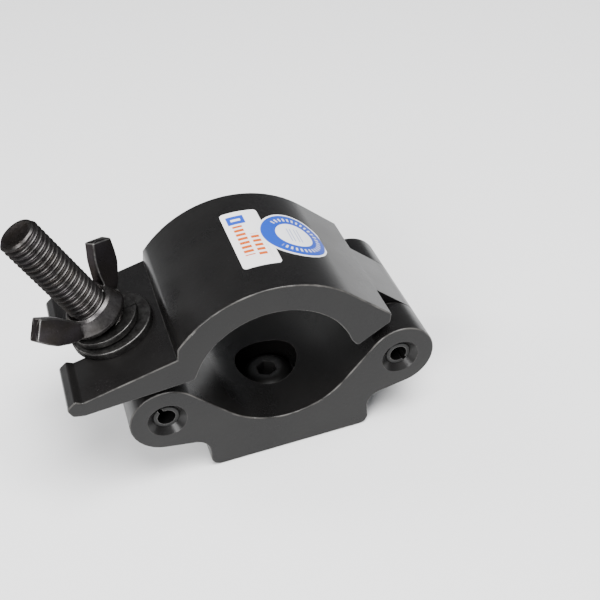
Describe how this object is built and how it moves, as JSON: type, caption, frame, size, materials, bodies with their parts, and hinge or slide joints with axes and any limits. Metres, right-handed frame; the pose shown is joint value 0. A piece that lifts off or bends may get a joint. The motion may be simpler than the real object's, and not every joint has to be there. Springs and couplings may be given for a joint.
{
  "type": "pipe clamp",
  "caption": "Half coupler for a stage tube: a saddle with a screw in its base and a hinged jaw, closed by a swing bolt and wing nut.",
  "frame": {"origin": "centre of the base's mounting face, on the mounting screw's axis", "axes": "+Z from the mounting face towards the tube's centre, Y along the tube, +X towards the hinge, -X towards the swing bolt"},
  "size_m": [0.1179, 0.05, 0.1007],
  "materials": {
    "black_powder_coat": "satin black powder coat on extruded aluminium",
    "pin_steel": "dark phosphated spring steel",
    "black_zinc": "black zinc plate, bright at worn edges",
    "screw_steel": "black screw",
    "label_vinyl": "glossy printed label",
    "label_vinyl_round": "glossy printed label"
  },
  "bodies": {
    "saddle": {"lower_saddle": "black_powder_coat", "jaw_hinge_pin": "pin_steel", "bolt_pivot_pin": "pin_steel", "mounting_screw": "screw_steel"},
    "jaw": {"upper_jaw": "black_powder_coat", "plate_label": "label_vinyl", "round_label": "label_vinyl_round"},
    "bolt": {"swing_bolt": "black_zinc"},
    "washers": {"large_washer": "black_zinc", "spring_washer": "black_zinc"},
    "nut": {"wing_nut": "black_zinc"}
  },
  "joints": [
    {"name": "jaw_open", "type": "hinge", "parent": "saddle", "child": "jaw", "pos_m": [0.037, 0, 0.025], "axis": [0, 1, 0], "range_deg": [0, 12.2]},
    {"name": "bolt_swing", "type": "hinge", "parent": "saddle", "child": "bolt", "pos_m": [-0.037, 0, 0.025], "axis": [0, -1, 0], "range_deg": [0, 18]},
    {"name": "nut_travel", "type": "slide", "parent": "bolt", "child": "washers", "axis": [-0.4234, 0, 0.9059], "range_m": [0, 0.0315]},
    {"name": "nut_spin", "type": "hinge", "parent": "washers", "child": "nut", "pos_m": [-0.037, 0, 0.025], "axis": [-0.4234, 0, 0.9059], "range_deg": [0, 6480]}
  ],
  "couplings": [
    {"joint": "nut_travel", "follows": "nut_spin", "m_per_rad": 0.00027852},
    {"joint": "jaw_open", "follows": "nut_spin", "ratio": 0.0018827},
    {"joint": "bolt_swing", "follows": "nut_spin", "ratio": 0.0027778}
  ]
}
